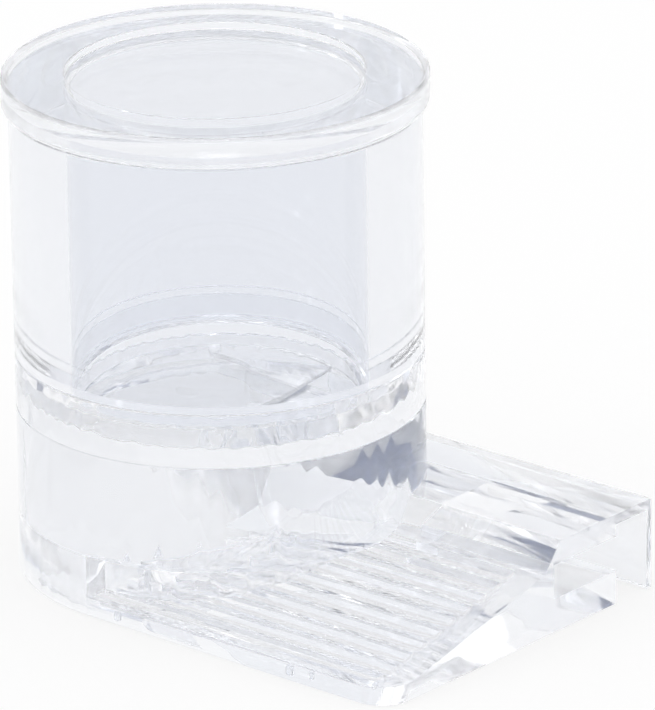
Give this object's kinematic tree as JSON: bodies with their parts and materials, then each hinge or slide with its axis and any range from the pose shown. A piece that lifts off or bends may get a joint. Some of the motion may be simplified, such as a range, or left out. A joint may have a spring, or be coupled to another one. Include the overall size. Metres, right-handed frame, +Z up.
{
  "type": "insect water fount",
  "caption": "Small clear fount: a lidded round tank feeds a sloping grooved drinking ramp, and a hanging lip along its back hooks over a panel.",
  "frame": {"origin": "on the tank's axis, on the flat underside", "axes": "+X along the ramp, away from the tank; +Y towards the hanging lip; +Z up the tank's axis"},
  "size_m": [0.0413, 0.0292, 0.0354],
  "materials": {
    "clear_plastic": "clear, polished"
  },
  "bodies": {
    "base": {"tray": "clear_plastic", "drum": "clear_plastic", "feed_disc": "clear_plastic"},
    "tank": {"tank": "clear_plastic"},
    "lid": {"lid": "clear_plastic"}
  },
  "joints": [
    {"name": "tank_pull", "type": "slide", "parent": "base", "child": "tank", "axis": [0, 0, 1], "range_m": [0, 0.012]},
    {"name": "lid_pull", "type": "slide", "parent": "tank", "child": "lid", "axis": [0, 0, 1], "range_m": [0, 0.012]}
  ]
}
